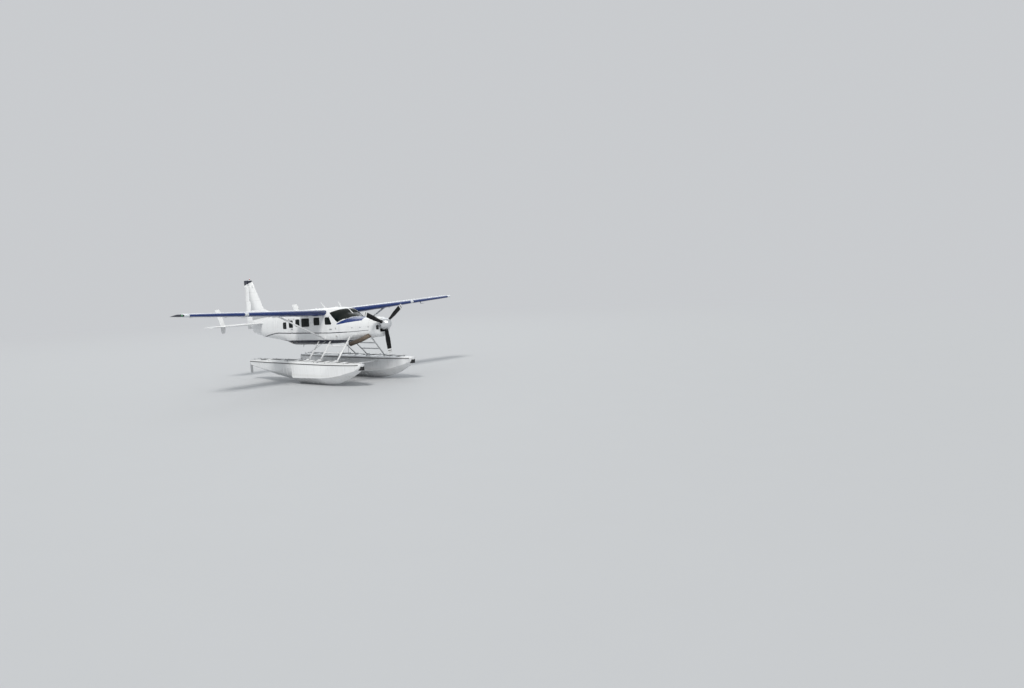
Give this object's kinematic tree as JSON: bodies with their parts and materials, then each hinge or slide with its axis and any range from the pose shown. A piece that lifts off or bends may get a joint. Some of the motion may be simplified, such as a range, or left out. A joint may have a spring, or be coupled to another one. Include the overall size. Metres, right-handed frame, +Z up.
{
  "type": "floatplane",
  "caption": "High wing single turboprop utility floatplane on twin straight floats, with opening doors, flying controls and a free propeller.",
  "frame": {"origin": "on the floor under the middle of the whole aircraft", "axes": "+X towards the nose, +Y to port, +Z up"},
  "size_m": [11.5088, 15.87, 5.0153],
  "materials": {
    "white_paint": "gloss white polyurethane aircraft paint",
    "glass": "tinted acrylic",
    "engine_block": "plain block for the engine",
    "exhaust": "heat stained and sooty steel",
    "blade_black": "satin black blades with a silver spinner",
    "cabin_trim": "matt dark trim",
    "seat_cloth": "woven grey cloth",
    "rubber": "black rubber",
    "bare_metal": "bare sheet metal"
  },
  "bodies": {
    "airframe": {"cabin_shell": "white_paint", "tail_cone": "white_paint", "cowl_upper": "white_paint", "cowl_lower": "white_paint", "engine": "engine_block", "exhaust": "exhaust", "windshield": "glass", "side_glass_left": "glass", "side_glass_right": "glass", "cabin_floor": "cabin_trim", "instrument_panel": "cabin_trim", "crew_seats": "seat_cloth", "cabin_seats": "seat_cloth", "wing_left": "white_paint", "wing_right": "white_paint", "wing_strut_left": "white_paint", "wing_strut_right": "white_paint", "stabiliser": "white_paint", "fin": "white_paint", "float_left": "white_paint", "float_right": "white_paint", "step_frame_left": "white_paint", "step_frame_right": "white_paint", "rear_strut_left": "white_paint", "rear_strut_right": "white_paint", "bow_bumper_left": "rubber", "bow_bumper_right": "rubber", "spreader_front": "white_paint", "spreader_rear": "white_paint"},
    "propeller": {"propeller": "blade_black"},
    "flap_left": {"flap_left": "white_paint"},
    "flap_right": {"flap_right": "white_paint"},
    "aileron_left": {"aileron_left": "white_paint"},
    "aileron_right": {"aileron_right": "white_paint"},
    "elevator_left": {"elevator_left": "white_paint"},
    "elevator_right": {"elevator_right": "white_paint"},
    "rudder": {"rudder": "white_paint"},
    "crew_door_left": {"crew_door_left": "white_paint"},
    "crew_door_right": {"crew_door_right": "white_paint"},
    "passenger_door_upper": {"passenger_door_upper": "white_paint"},
    "passenger_door_lower": {"passenger_door_lower": "white_paint"},
    "cargo_door_upper": {"cargo_door_upper": "white_paint"},
    "cargo_door_lower": {"cargo_door_lower": "white_paint"},
    "water_rudder_left": {"water_rudder_left": "bare_metal"},
    "water_rudder_right": {"water_rudder_right": "bare_metal"}
  },
  "joints": [
    {"name": "propeller_spin", "type": "hinge", "parent": "airframe", "child": "propeller", "pos_m": [5.40476, 0, 2.74534], "axis": [0.9991, 0, 0.0419], "continuous": true},
    {"name": "flap_left_hinge", "type": "hinge", "parent": "airframe", "child": "flap_left", "pos_m": [0.77246, 2.915, 3.34383], "axis": [-0.0572, -0.9966, -0.0594], "range_deg": [0, 30]},
    {"name": "flap_right_hinge", "type": "hinge", "parent": "airframe", "child": "flap_right", "pos_m": [0.77246, -2.915, 3.34383], "axis": [0.0572, -0.9966, 0.0594], "range_deg": [0, 30]},
    {"name": "aileron_left_hinge", "type": "hinge", "parent": "airframe", "child": "aileron_left", "pos_m": [0.91485, 6.352, 3.53967], "axis": [0.0616, 0.9965, 0.0571], "range_deg": [-20, 20]},
    {"name": "aileron_right_hinge", "type": "hinge", "parent": "airframe", "child": "aileron_right", "pos_m": [0.91485, -6.352, 3.53967], "axis": [-0.0616, 0.9965, -0.0571], "range_deg": [-20, 20]},
    {"name": "elevator_left_hinge", "type": "hinge", "parent": "airframe", "child": "elevator_left", "pos_m": [-4.54432, 1.6865, 2.7227], "axis": [0.0596, 0.9982, 0.0025], "range_deg": [-20, 25]},
    {"name": "elevator_right_hinge", "type": "hinge", "parent": "airframe", "child": "elevator_right", "pos_m": [-4.54432, -1.6865, 2.7227], "axis": [-0.0596, 0.9982, -0.0025], "range_deg": [-20, 25]},
    {"name": "rudder_hinge", "type": "hinge", "parent": "airframe", "child": "rudder", "pos_m": [-5.27517, 0, 3.71396], "axis": [-0.1138, 0, 0.9935], "range_deg": [-25, 25]},
    {"name": "crew_door_left_hinge", "type": "hinge", "parent": "airframe", "child": "crew_door_left", "pos_m": [2.77195, 0.781, 2.43482], "axis": [0.0419, 0, -0.9991], "range_deg": [0, 85]},
    {"name": "crew_door_right_hinge", "type": "hinge", "parent": "airframe", "child": "crew_door_right", "pos_m": [2.77195, -0.781, 2.43482], "axis": [-0.0419, 0, 0.9991], "range_deg": [0, 85]},
    {"name": "passenger_door_upper_hinge", "type": "hinge", "parent": "airframe", "child": "passenger_door_upper", "pos_m": [-0.67072, -0.779, 2.98764], "axis": [-0.9991, 0, -0.0419], "range_deg": [0, 95]},
    {"name": "passenger_door_lower_hinge", "type": "hinge", "parent": "airframe", "child": "passenger_door_lower", "pos_m": [-0.62327, -0.692, 1.85564], "axis": [0.9991, 0, 0.0419], "range_deg": [0, 100]},
    {"name": "cargo_door_upper_hinge", "type": "hinge", "parent": "airframe", "child": "cargo_door_upper", "pos_m": [-0.4609, 0.786, 2.99644], "axis": [0.9991, 0, 0.0419], "range_deg": [0, 95]},
    {"name": "cargo_door_lower_hinge", "type": "hinge", "parent": "airframe", "child": "cargo_door_lower", "pos_m": [0.08933, 0.809, 2.20228], "axis": [0.0419, 0, -0.9991], "range_deg": [0, 150]},
    {"name": "water_rudder_left_hinge", "type": "hinge", "parent": "airframe", "child": "water_rudder_left", "pos_m": [-3.06055, 1.549, 0.8], "axis": [0, 0, 1], "range_deg": [-30, 30]},
    {"name": "water_rudder_right_hinge", "type": "hinge", "parent": "airframe", "child": "water_rudder_right", "pos_m": [-3.06055, -1.549, 0.8], "axis": [0, 0, 1], "range_deg": [-30, 30]}
  ],
  "couplings": [
    {"joint": "flap_right_hinge", "follows": "flap_left_hinge", "ratio": 1},
    {"joint": "aileron_right_hinge", "follows": "aileron_left_hinge", "ratio": -1},
    {"joint": "elevator_right_hinge", "follows": "elevator_left_hinge", "ratio": 1},
    {"joint": "water_rudder_left_hinge", "follows": "rudder_hinge", "ratio": 1.2},
    {"joint": "water_rudder_right_hinge", "follows": "rudder_hinge", "ratio": 1.2}
  ]
}
